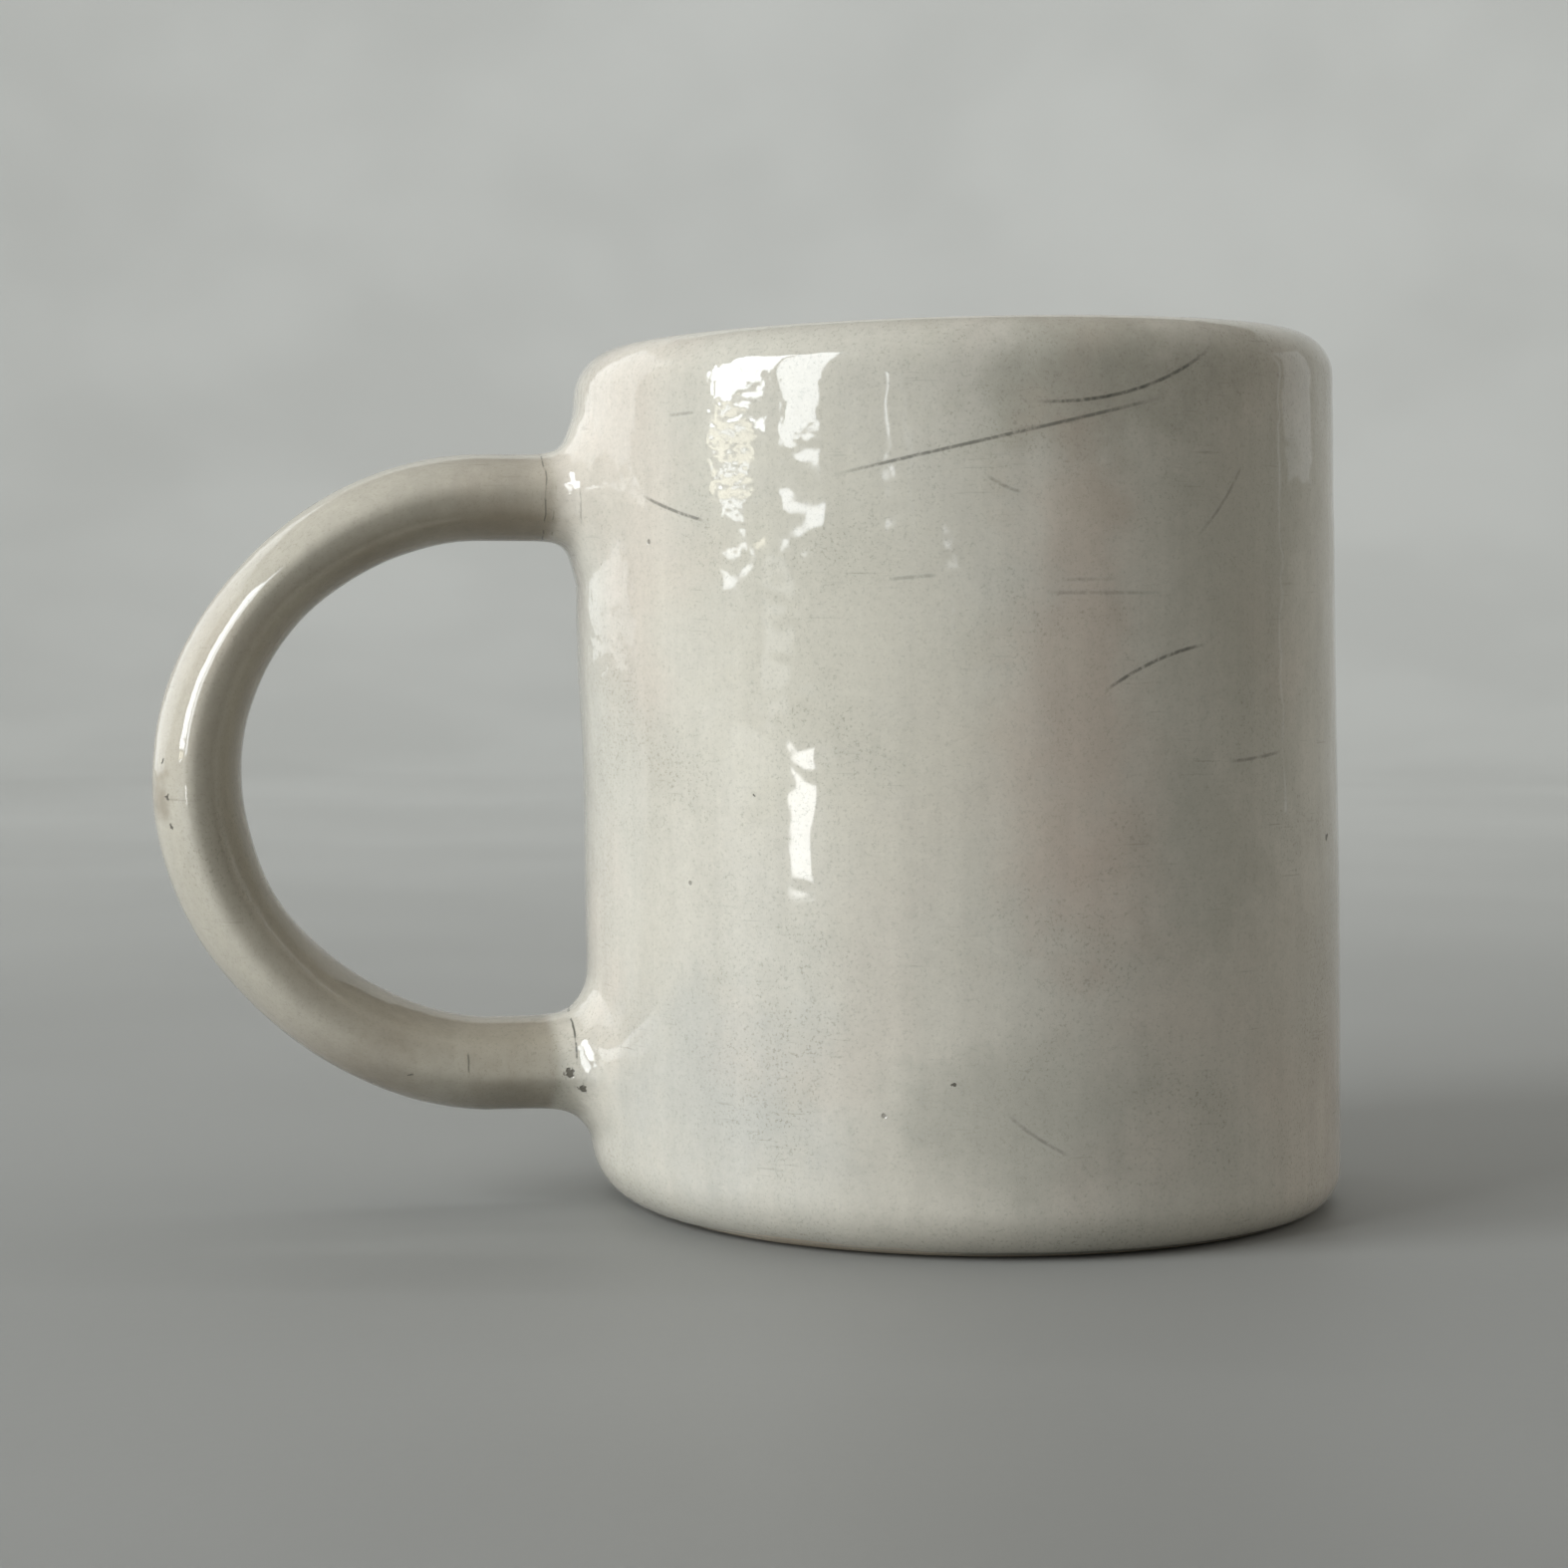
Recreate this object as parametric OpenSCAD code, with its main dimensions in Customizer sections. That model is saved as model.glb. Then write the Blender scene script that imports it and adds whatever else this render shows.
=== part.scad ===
// Hand-built ceramic mug: clay pieces joined with slip, under a coat of glaze.
// Millimetres. +Z is up, the origin is the middle of the flat underside, the handle is on -X.
// The cylinder leans a little towards the handle and its rim is square to its own axis. It stands
// on an upright base disc; the two meet in a mitre that leans half as much.

/* [Body] */
// Outer radius of the body, over the glaze
body_r = 41; // [36:0.5:46]
// Height of the body along its own axis, over the glaze
body_h = 92.7; // [85:0.1:105]
// Thickness of the wall, both coats of glaze included
wall_t = 6; // [5:0.25:7]
// Lean of the body towards the handle, in degrees
lean = 1.2; // [0:0.1:1.5]
// Outer rounding of the rim, over the glaze
rim_round = 5; // [3:0.1:5.2]

/* [Base] */
// Thickness of the clay base disc, at its middle
base_t = 6; // [5.75:0.25:7]
// Rounding of the base disc's lower edge, over the glaze
foot_round = 5.2; // [3:0.1:5.2]
// Height above the table at which the outer glaze stops
bare_foot_h = 1; // [0.8:0.1:2]
// Size of the coil pressed into the inside corner
coil_size = 4.3; // [3:0.1:6]

/* [Handle] */
// Width of the handle, along Y, over the glaze
handle_w = 15.4; // [13:0.1:18]
// Thickness of the handle, in the plane of its loop, over the glaze
handle_t = 9.4; // [8:0.1:11]
// Radius of the bow, to the middle of the handle
bow_r = 30.1; // [28:0.1:32]
// Distance from the body's axis to the middle of the bow
bow_x = 52.8; // [50:0.1:58]
// Height of the middle of the bow
bow_z = 45.7; // [44:0.1:48]
// Size of the worked clay fillet round each end of the handle
joint_fillet = 2.8; // [2:0.1:3.4]

/* [Glaze] */
// Thickness of the glaze
glaze_t = 0.5; // [0.3:0.05:0.6]

/* [Hidden] */
$fn = 96;

clay_color = "tan";
joint_color = "burlywood";
glaze_color = "lightgray";

// Clay sizes under the glaze.
clay_r = body_r - glaze_t;
clay_h = body_h - glaze_t;
bore_r = body_r - wall_t + glaze_t;
rim_out = rim_round - glaze_t;
rim_in = clay_r - bore_r - rim_out;
crest_r = bore_r + rim_in;
foot_out = foot_round - glaze_t;

// The handle's section is a four-arc oval. The centres of a narrow edge and of a broad side lie
// at two corners of a 3-4-5 triangle, of this unit, whose right angle is the oval's middle.
oval_unit = (handle_w - handle_t) / 4;
edge_r = handle_t / 2 - glaze_t - oval_unit;
edge_c = 3 * oval_unit;
side_r = edge_r + 5 * oval_unit;
side_c = 4 * oval_unit;
edge_angle = atan2(4, 3);

// Thickness left at the feathered edges of a fillet, so that no edge is a knife edge.
feather = 0.25;
// Length that a cutter or a buried end runs past the face it has to clear.
past = 5;
// Sides and rings of the flare round each end of the handle.
fillet_sides = 36;
fillet_rings = 5;

// Height of one end of the handle, and the clay wall's x there; end is 1 for the upper, -1 for the lower.
function arm_z(end) = bow_z + end * bow_r;
function wall_x(end) = -clay_r - (arm_z(end) - base_t) * tan(lean);

// Tilts about the middle of the base disc's top, towards the handle.
module tilted(angle) {
    translate([0, 0, base_t]) rotate([0, -angle, 0]) translate([0, 0, -base_t]) children();
}

module leaned() {
    tilted(lean) children();
}

// The mitre's tilt, which gives the leaning cylinder and the upright disc one matching outline.
module mitred() {
    tilted(lean / 2) children();
}

// Everything under the mitre between wall and disc, raised by lift.
module below_seam(lift = 0) {
    mitred() translate([-2 * body_r, -2 * body_r, base_t + lift - 2 * body_h])
        cube([4 * body_r, 4 * body_r, 2 * body_h]);
}

// The part of a square corner that a rounding of radius r takes away; the corner is at [0, 0]
// and the material is at its lower left.
module corner_cut(r) {
    difference() {
        translate([-r, -r]) square(r + past);
        translate([-r, -r]) circle(r);
    }
}

// Section of the wall with its rounded rim, thickened all round by grow.
module wall_2d(grow) {
    difference() {
        translate([bore_r - grow, -past]) square([clay_r - bore_r + 2 * grow, clay_h + grow + past]);
        translate([clay_r + grow, clay_h + grow]) corner_cut(rim_out + grow);
        translate([bore_r - grow, clay_h + grow]) mirror([1, 0]) corner_cut(rim_in + grow);
    }
}

// Section of the base disc, run on past the seam and thickened outwards by grow.
module base_2d(grow) {
    difference() {
        translate([0, -grow]) square([clay_r + grow, base_t + past + grow]);
        translate([clay_r + grow, -grow]) mirror([0, 1]) corner_cut(foot_out + grow);
    }
}

// A coved ring that fills the inside corner, lifted off the clay by grow.
module corner_ring(grow) {
    inner = bore_r - coil_size - grow;
    mitred() rotate_extrude() difference() {
        translate([inner, base_t]) square([coil_size + past, coil_size + grow]);
        translate([inner, base_t + coil_size + grow]) circle(coil_size - feather);
    }
}

// The space inside the clay, or inside the liner when grow is the glaze's thickness.
module cavity(grow) {
    difference() {
        leaned() cylinder(r = bore_r - grow, h = body_h + past);
        below_seam(grow);
        corner_ring(grow);
    }
}

// The handle's oval section: its width along x, its thickness along y, thickened by grow.
module handle_2d(grow) {
    tangent_x = edge_c + (edge_r + grow) * cos(edge_angle);
    for (side = [-1, 1]) {
        translate([side * edge_c, 0]) circle(edge_r + grow);
    }
    intersection() {
        translate([0, side_c]) circle(side_r + grow);
        translate([0, -side_c]) circle(side_r + grow);
        square([2 * tangent_x, 2 * handle_t], center = true);
    }
}

// Half a ring with the section given as its child.
module bow() {
    translate([-bow_x, 0, bow_z]) rotate([90, -90, 0])
        rotate_extrude(angle = 180) translate([bow_r, 0]) rotate(90) children();
}

// Straight end of the handle, from the bow to x_end, with the section given as its child.
module arm(end, x_end) {
    translate([-bow_x, 0, arm_z(end)]) rotate([90, 0, 90]) linear_extrude(x_end + bow_x) children();
}

// Solid cylinder with the clay wall's outer surface, fine enough to cut small pieces truly.
module wall_core() {
    leaned() translate([0, 0, -past]) cylinder(r = clay_r, h = body_h + 2 * past, $fn = 360);
}

// Point of the handle's oval outline, thickened by grow, where its outward normal points along phi.
function oval_point(phi, grow) =
    abs(sin(phi)) < sin(edge_angle)
        ? [sign(cos(phi)) * edge_c + (edge_r + grow) * cos(phi), (edge_r + grow) * sin(phi)]
        : [(side_r + grow) * cos(phi), (side_r + grow) * sin(phi) - sign(sin(phi)) * side_c];

// How far the round wall falls back from its foremost line at the distance y to one side.
function fall_back(y) = clay_r - sqrt(pow(clay_r, 2) - pow(y, 2));

// Outward step and height of the fillet's hollow curve, from the handle at a = 0 to the wall at a = 90.
function fillet_step(a, grow) = joint_fillet - (joint_fillet - feather - grow) * cos(a);
function fillet_rise(a, grow) = (joint_fillet - feather - grow) * sin(a) - joint_fillet;

// One closed outline of the fillet at height z, which follows the round wall by the given share.
function fillet_outline(step, z, share) = [
    for (k = [0 : fillet_sides - 1]) let (point = oval_point(360 * k / fillet_sides, step))
        concat(point, z + share * fall_back(point[0]))
];

// Flare of worked clay round one end of the handle, thickened by grow; it runs on into the wall.
module flare(end, grow) {
    outlines = concat(
        [for (k = [0 : fillet_rings]) let (a = 90 * k / fillet_rings)
            fillet_outline(fillet_step(a, grow), fillet_rise(a, grow), sin(a))],
        [if (grow > 0) fillet_outline(joint_fillet + grow, -feather - grow, 1)],
        [fillet_outline(joint_fillet + grow, past, 0)]
    );
    last = len(outlines) - 1;
    sides = [
        for (j = [0 : last - 1], k = [0 : fillet_sides - 1])
            let (here = j * fillet_sides, next = (k + 1) % fillet_sides, up = here + fillet_sides)
                for (face = [[here + k, up + k, up + next], [here + k, up + next, here + next]]) face
    ];
    bottom = [for (k = [0 : fillet_sides - 1]) k];
    top = [for (k = [fillet_sides - 1 : -1 : 0]) last * fillet_sides + k];
    translate([wall_x(end), 0, arm_z(end)]) rotate([90, 0, 90])
        polyhedron([for (outline = outlines) each outline], concat([bottom], sides, [top]));
}

// The flare with the handle's own clay and the wall taken out of it.
module collar(end, grow) {
    difference() {
        flare(end, grow);
        buried_arm(end, 0);
        wall_core();
    }
}

// One straight end of the handle, run on into the wall.
module buried_arm(end, grow) {
    arm(end, past - body_r) handle_2d(grow);
}

// Rolled or thrown cylinder of clay that stands on the base disc.
module body_wall() {
    color(clay_color) difference() {
        leaned() rotate_extrude() wall_2d(0);
        below_seam();
    }
}

// Flat disc of clay with a rounded lower edge; its bare underside is the foot.
module base_disc() {
    color(clay_color) intersection() {
        rotate_extrude() base_2d(0);
        below_seam();
    }
}

// Soft coil pressed into the inside corner, over the seam of wall and base.
module base_seam_coil() {
    color(joint_color) intersection() {
        corner_ring(0);
        leaned() cylinder(r = bore_r, h = body_h);
    }
}

// Rolled bar of clay, bent to a bow and cut to fit the wall.
module handle_rod() {
    color(clay_color) difference() {
        union() {
            bow() handle_2d(0);
            for (end = [-1, 1]) {
                buried_arm(end, 0);
            }
        }
        wall_core();
    }
}

// Collar of slip and clay worked round the handle's upper end.
module upper_handle_joint() {
    color(joint_color) collar(1, 0);
}

// The same collar at the lower end.
module lower_handle_joint() {
    color(joint_color) collar(-1, 0);
}

// Coat on the outside, from the crest of the rim down to the bare foot, open round the handle.
module outer_glaze() {
    color(glaze_color) {
        difference() {
            leaned() rotate_extrude() difference() {
                wall_2d(glaze_t);
                wall_2d(0);
                translate([0, -past]) square([crest_r, body_h + 2 * past]);
            }
            below_seam();
            for (end = [-1, 1]) {
                buried_arm(end, glaze_t);
                flare(end, glaze_t);
            }
        }
        intersection() {
            rotate_extrude() difference() {
                base_2d(glaze_t);
                base_2d(0);
                translate([0, bare_foot_h - body_h]) square([2 * body_r, body_h]);
            }
            below_seam();
        }
    }
}

// Coat on the inside, from the crest of the rim down over the coil and the floor.
module liner_glaze() {
    color(glaze_color) difference() {
        leaned() rotate_extrude() union() {
            square([bore_r, clay_h - rim_in]);
            intersection() {
                difference() {
                    wall_2d(glaze_t);
                    wall_2d(0);
                }
                square([crest_r, body_h]);
            }
        }
        below_seam();
        base_seam_coil();
        cavity(glaze_t);
    }
}

// Coat on the handle and on the worked clay at both its ends.
module handle_glaze() {
    color(glaze_color) {
        bow() handle_coat_2d();
        for (end = [-1, 1]) difference() {
            union() {
                arm(end, wall_x(end) - joint_fillet + glaze_t) handle_coat_2d();
                collar(end, glaze_t);
            }
            flare(end, 0);
        }
    }
}

module handle_coat_2d() {
    difference() {
        handle_2d(glaze_t);
        handle_2d(0);
    }
}

body_wall();
base_disc();
base_seam_coil();
handle_rod();
upper_handle_joint();
lower_handle_joint();
outer_glaze();
liner_glaze();
handle_glaze();
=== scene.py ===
"""Looks for a hand-built ceramic mug: a seamless coat of glaze over the packed clay parts.

Lengths are in millimetres until a mesh, light or camera is made; MM turns them into metres.
"""

import math

import bpy
import numpy as np
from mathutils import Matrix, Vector


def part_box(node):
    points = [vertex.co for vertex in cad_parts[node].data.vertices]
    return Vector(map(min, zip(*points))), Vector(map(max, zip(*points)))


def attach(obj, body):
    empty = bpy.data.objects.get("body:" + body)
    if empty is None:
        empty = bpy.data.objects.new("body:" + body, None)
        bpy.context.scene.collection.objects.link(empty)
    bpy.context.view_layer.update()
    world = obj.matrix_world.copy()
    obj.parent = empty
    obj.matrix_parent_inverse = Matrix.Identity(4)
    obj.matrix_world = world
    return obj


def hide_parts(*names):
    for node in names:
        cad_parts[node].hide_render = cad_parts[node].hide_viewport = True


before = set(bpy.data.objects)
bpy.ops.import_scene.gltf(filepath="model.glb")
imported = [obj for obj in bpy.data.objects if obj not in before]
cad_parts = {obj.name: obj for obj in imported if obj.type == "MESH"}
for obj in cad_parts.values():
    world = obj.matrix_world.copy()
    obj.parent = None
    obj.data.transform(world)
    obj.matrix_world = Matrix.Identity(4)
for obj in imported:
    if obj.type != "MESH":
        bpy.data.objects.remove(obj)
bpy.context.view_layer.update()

MM = 0.001


def box_mm(node):
    """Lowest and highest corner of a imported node, in millimetres."""
    low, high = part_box(node)
    return np.array(low) / MM, np.array(high) / MM


# --- Sizes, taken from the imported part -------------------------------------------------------

DISC_HIGH = box_mm("base_disc")[1]
GLAZE_HIGH = box_mm("outer_glaze")[1]
ROD_LOW, ROD_HIGH = box_mm("handle_rod")

LEAN = math.radians(1.2)
GLAZE_T = GLAZE_HIGH[0] - DISC_HIGH[0]
# Thickness of the handle with its glaze, towards the fingers; HANDLE_W is its width.
HANDLE_T = 9.4
HANDLE_W = ROD_HIGH[1] - ROD_LOW[1] + 2 * GLAZE_T

# The coat stays this far inside the part's box, which leaves room for its ripples.
ROOM = 0.15
BODY_R = GLAZE_HIGH[0] - ROOM
# From the outside of the coat to the surface of the liner.
WALL_T = 6
BORE_R = GLAZE_HIGH[0] - WALL_T
DISC_TOP = DISC_HIGH[2] - DISC_HIGH[0] * math.tan(LEAN / 2)
FLOOR_Z = DISC_TOP + GLAZE_T

# Rounding of the rim and the foot, and how much it differs between the handle's side and the
# side opposite it.
RIM_ROUND = 5.0
RIM_UNEVEN = 0.2
FOOT_ROUND = 5.2
FOOT_UNEVEN = 1.6
# Height of the body along its own axis, with a little room under the top of the part's box.
RIM_ROOM = 0.05
BODY_H = GLAZE_HIGH[2] - (BODY_R - RIM_ROUND) * math.sin(LEAN) - RIM_ROOM
# How much lower the rim is over the handle than opposite it, on top of the lean.
RIM_DROP = 0.2

# Swells of the wall on the handle's side: distance out, middle height, half-height, half-width.
BELLY = (0.33, 60, 10, 22)
SHOULDER = (0.8, 79, 4.5, 11)
# Pads of worked clay at the joints: distance out, half-width, and half-height at each end.
PAD_OUT = 0.5
PAD_HALF_W = 15
PAD_HALF_H = {1: 9.5, -1: 8.5}

# Middle of the bow, which lies a little inside the part's box at the far end.
bow_reach = (ROD_HIGH[2] - ROD_LOW[2]) / 2
BOW_R = bow_reach - HANDLE_T / 2 + GLAZE_T
BOW_X = ROD_LOW[0] + bow_reach + 0.2
BOW_Z = (ROD_HIGH[2] + ROD_LOW[2]) / 2
# Deepest ripple of the bar.
BAR_SWING = 0.12

# Soft ridge along the bar's sides: height, half-width, and place towards the outer side.
RIDGE_H = 0.32
RIDGE_W = 0.95
RIDGE_AT = 0.7

# Reach of the worked clay on the outer, inner and broad sides of the bar at each joint.
UPPER_REACH = {"outer": 5.0, "inner": 5.0, "side": 8.0}
LOWER_REACH = {"outer": 7.0, "inner": 7.0, "side": 8.0}

# Height over which the upright foot turns into the leaning wall.
BEND_H = 14
# Height of the glaze's lower edge above the table, hollow of the bare underside, and depth of
# the clay under the outside of the coat at the foot.
BARE_H = 0.5
HOLLOW_H = 0.35
FOOT_INSET = 0.35
# Rounding between liner and floor, height of the rim's inner rounding, and the deepest waves of
# the liner and its floor.
COVE_R = 4.6
LIP_H = 2.2
LINER_SWING = 0.2
FLOOR_SWING = 0.12


def smooth(t):
    """Smooth step from 0 to 1 while t goes from 0 to 1."""
    t = np.clip(t, 0, 1)
    return t * t * (3 - 2 * t)


def hill(t):
    """Smooth hill, 1 high at t = 0 and about a third as high at t = 1."""
    return np.exp(-(t**2))


def ripples(seed, count, turns, lengths, slope):
    """Returns height(angle, along): soft waves, each of about the same slope."""
    rng = np.random.default_rng(seed)
    around = rng.integers(-turns, turns + 1, count)
    length = rng.uniform(*lengths, count)
    phase = rng.uniform(0, 2 * math.pi, count)

    def height(angle, along):
        total = np.zeros(np.broadcast(angle, along).shape)
        for n, wave, start in zip(around, length, phase):
            swing = slope * wave / (2 * math.pi)
            total += swing * np.sin(n * angle + 2 * math.pi * along / wave + start)
        return total

    return height


wall_hand = ripples(seed=11, count=10, turns=3, lengths=(30, 80), slope=0.0035)
wall_tool = ripples(seed=5, count=16, turns=22, lengths=(5, 16), slope=0.0032)
liner_hand = ripples(seed=23, count=14, turns=4, lengths=(12, 50), slope=0.008)
bow_hand = ripples(seed=31, count=14, turns=3, lengths=(9, 40), slope=0.006)


# --- The body: a cylinder that leans, on an upright foot -------------------------------------


def bend_shift(z):
    """How far the body's axis has moved towards the handle at height z."""
    u = np.clip(z / BEND_H, 0, 1)
    return math.tan(LEAN) * (BEND_H * (u**3 - u**4 / 2) + np.maximum(z - BEND_H, 0))


def bend_tilt(z):
    """Sine of the body's lean at height z."""
    return math.sin(LEAN) * smooth(z / BEND_H)


def body_point(angle, radius, z):
    """Points of the body's own frame, put where the bend takes them."""
    x = radius * np.cos(angle)
    y = radius * np.sin(angle)
    return np.stack([x - bend_shift(z), y, z + x * bend_tilt(z)], axis=-1)


def body_frame(p):
    """Angle, radius and height of points in the body's own frame: body_point() turned round."""
    z = p[..., 2]
    for _ in range(4):
        x = p[..., 0] + bend_shift(z)
        z = p[..., 2] - x * bend_tilt(z)
    return np.arctan2(p[..., 1], x), np.hypot(x, p[..., 1]), z


def foot_round(angle):
    """Rounding of the foot, which is larger under the handle than opposite it."""
    return FOOT_ROUND - FOOT_UNEVEN * np.cos(angle)


def rim_round(angle):
    """Rounding of the rim, a little larger over the handle."""
    return RIM_ROUND - RIM_UNEVEN * np.cos(angle)


def rim_height(angle):
    """Height of the rim's crest, which drops towards the handle."""
    return BODY_H - RIM_DROP * (1 - np.cos(angle)) / 2


def wall_ripple(angle, z):
    """Ripples of the outside: calm at the rim, and never deeper than ROOM."""
    calm = 1 - 0.7 * smooth((z - BODY_H + 8) / 6)
    total = wall_hand(angle, z) + wall_tool(angle, z)
    return calm * ROOM * 0.95 * np.tanh(total / ROOM)


def joint_level(end):
    """Height in the wall's own frame of the handle's upper (1) or lower (-1) joint."""
    return arm_z(end) + BODY_R * math.sin(LEAN)


def swell(shape, side, z):
    """Smooth swell of the given shape, at a distance to the side of the handle's plane."""
    out, level, half_height, half_width = shape
    return out * hill((z - level) / half_height) * hill(side / half_width)


def pad(end, side, z):
    """Flat pad of worked clay round one joint, with a smooth edge."""
    distance = np.hypot(side / PAD_HALF_W, (z - joint_level(end)) / PAD_HALF_H[end])
    return PAD_OUT * (1 - smooth((distance - 0.72) / 0.33))


def handle_swell(angle, z):
    """Outward swell of the wall on the handle's side: belly, shoulder and a pad at each joint."""
    side = BODY_R * np.abs(np.mod(angle, 2 * math.pi) - math.pi)
    pads = pad(1, side, z) + pad(-1, side, z)
    return swell(BELLY, side, z) + swell(SHOULDER, side, z) + pads


def wall_radius(angle, z):
    """Radius of the outside of the coat."""
    foot = foot_round(angle)
    rim = rim_round(angle)
    down = np.clip(1 - z / foot, 0, 1)
    up = np.clip(1 - (rim_height(angle) - z) / rim, 0, 1)
    cut = foot * (1 - np.sqrt(1 - down**2)) + rim * (1 - np.sqrt(1 - up**2))
    return BODY_R - cut + wall_ripple(angle, z) + handle_swell(angle, z)


def wall_gap(p):
    """Distance from the outside of the wall."""
    angle, radius, z = body_frame(p)
    return radius - wall_radius(angle, z)


# --- The handle: an oval bar, bent to a bow ---------------------------------------------------

# Four-arc oval: the arcs' centres are two corners of a 3-4-5 triangle, as in the part.
oval_unit = (HANDLE_W - HANDLE_T) / 4
EDGE_R = HANDLE_T / 2 - oval_unit
EDGE_C = 3 * oval_unit
SIDE_R = EDGE_R + 5 * oval_unit
SIDE_C = 4 * oval_unit


def oval_gap(y, q):
    """Distance from the oval, for width y and thickness q."""
    u = np.abs(y)
    v = np.abs(q)
    at_edge = 4 * (u - EDGE_C) > 3 * v
    return np.where(at_edge, np.hypot(u - EDGE_C, v) - EDGE_R, np.hypot(u, v + SIDE_C) - SIDE_R)


def soft_interp(x, stations, values):
    """Interpolation without corners: the mean of five straight ones, spread over 24 degrees."""
    return sum(np.interp(x + shift, stations, values) for shift in (-12, -6, 0, 6, 12)) / 5


def bow_profile(turn):
    """Middle radius and thickness of the bar; turn is 90 degrees at the top and 0 at the far end."""
    degrees = np.degrees(turn)
    stations = [-90, -75, -50, -20, 0, 20, 40, 60, 80, 90]
    middles = [30.3, 29.5, 29.1, 29.55, 30.0, 30.05, 29.8, 29.7, 29.85, 30.15]
    thicknesses = [9.9, 9.8, 9.4, 9.1, 9.6, 8.9, 8.3, 8.8, 9.3, 9.3]
    return soft_interp(degrees, stations, middles), soft_interp(degrees, stations, thicknesses)


def arm_z(end):
    """Height of the middle of the bar at its upper (1) or lower (-1) end."""
    middle, _ = bow_profile(end * math.pi / 2)
    return BOW_Z + end * middle


def bow_frame(p):
    """Turn along the bow, place across it and place through it, for points near the bar."""
    dx = np.minimum(p[..., 0] - BOW_X, 0)
    dz = p[..., 2] - BOW_Z
    turn = np.arctan2(dz, -dx)
    middle, thickness = bow_profile(turn)
    through = (np.hypot(dx, dz) - middle) * HANDLE_T / thickness
    return turn, p[..., 1], through


def side_ridge(across, through):
    """Height of the soft ridge that runs along both narrow sides of the bar."""
    return RIDGE_H * hill((through - RIDGE_AT) / RIDGE_W) * smooth((np.abs(across) - 4) / 3)


def bar_gap(p):
    """Distance from the outside of the bar."""
    turn, across, through = bow_frame(p)
    ripple = bow_hand(np.arctan2(through, across), turn * BOW_R)
    ripple = BAR_SWING * np.tanh(ripple / BAR_SWING)
    return oval_gap(across, through) - ripple - side_ridge(across, through)


# --- The skin: body and handle worked together ------------------------------------------------


def reach(p):
    """How far from the bare corner the worked clay begins, all round both joints."""
    upper = p[..., 2] > BOW_Z
    middle, _ = bow_profile(np.where(upper, math.pi / 2, -math.pi / 2))
    through = np.abs(p[..., 2] - BOW_Z) - middle
    around = np.arctan2(through, np.abs(p[..., 1]))
    outer = np.where(upper, UPPER_REACH["outer"], LOWER_REACH["outer"])
    inner = np.where(upper, UPPER_REACH["inner"], LOWER_REACH["inner"])
    side = np.where(upper, UPPER_REACH["side"], LOWER_REACH["side"])
    broad = np.cos(around) ** 2
    return broad * side + (1 - broad) * np.where(through > 0, outer, inner)


def skin_gap(p):
    """Distance from the outside of the coat, with a smooth fillet between wall and bar."""
    wall = wall_gap(p)
    bar = bar_gap(p)
    size = reach(p)
    near = np.clip(1 - np.abs(wall - bar) / size, 0, 1)
    return np.minimum(wall, bar) - size * near**3 / 6


def settle(p):
    """Moves points onto the skin."""
    step = 0.05
    for _ in range(7):
        gap = skin_gap(p)
        slope = np.stack(
            [(skin_gap(p + step * axis) - skin_gap(p - step * axis)) / (2 * step) for axis in np.eye(3)],
            axis=-1,
        )
        size = np.maximum((slope**2).sum(-1), 0.1)
        p = p - slope * (gap / size)[..., None]
    return p


# --- The coat's mesh -------------------------------------------------------------------------

COLUMNS = 200
# Half the size, in cells, of the opening in the wall's grid that each end of the handle fills.
HOLE_COLS = 11
HOLE_ROWS = 7
ROWS_BETWEEN = 52
# Rows on the rounded foot, and on the wall between it and the lower opening.
FOOT_ROWS = 9
LOW_WALL_ROWS = 3
ROWS_BELOW = FOOT_ROWS + LOW_WALL_ROWS
# Rows and columns past the openings that are settled onto the skin along with their edges.
SETTLED_ROWS = 4
SETTLED_COLS = 11
JOINT_STATIONS = 16
BOW_STATIONS = 96
# The clay bar under the coat: stations along it, points round it, and how deep it lies.
BAR_STATIONS = 60
BAR_POINTS = 48
BAR_DEPTH = 0.55

angles = 2 * math.pi * np.arange(COLUMNS) / COLUMNS
HANDLE_COLUMN = COLUMNS // 2


def wall_row_heights():
    """Heights of the wall's rows; a row runs through the middle of each end of the handle."""
    low, high = joint_level(-1), joint_level(1)
    pitch = (high - low) / ROWS_BETWEEN
    return low + pitch * np.arange(-HOLE_ROWS, ROWS_BETWEEN + HOLE_ROWS + 1)


def arc(first, last, count):
    """Angles from first to last in degrees, without the first."""
    return np.radians(np.linspace(first, last, count + 1)[1:])


def outside_rings():
    """Rings from the glaze's lower edge to the crest of the rim, as radius and height arrays."""
    foot = foot_round(angles)
    rim = rim_round(angles)
    crown = rim_height(angles)
    rows = wall_row_heights()
    heights = []
    for t in np.linspace(1, 0, FOOT_ROWS):
        heights.append(foot * (1 - np.sin(t * np.arcsin(1 - BARE_H / foot))))
    for step in range(LOW_WALL_ROWS):
        heights.append(foot + (rows[0] - foot) * (step + 1) / (LOW_WALL_ROWS + 1))
    for row in rows:
        heights.append(np.full(COLUMNS, row))
    for t in (0.25, 0.5, 0.75, 1):
        heights.append(rows[-1] + (crown - rim - rows[-1]) * t)
    rings = [(wall_radius(angles, z), z) for z in heights]
    for a in arc(0, 90, 10):
        z = crown - rim * (1 - math.sin(a))
        out = wall_ripple(angles, z) + handle_swell(angles, z)
        rings.append((BODY_R - rim * (1 - math.cos(a)) + out, z))
    return rings


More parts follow.
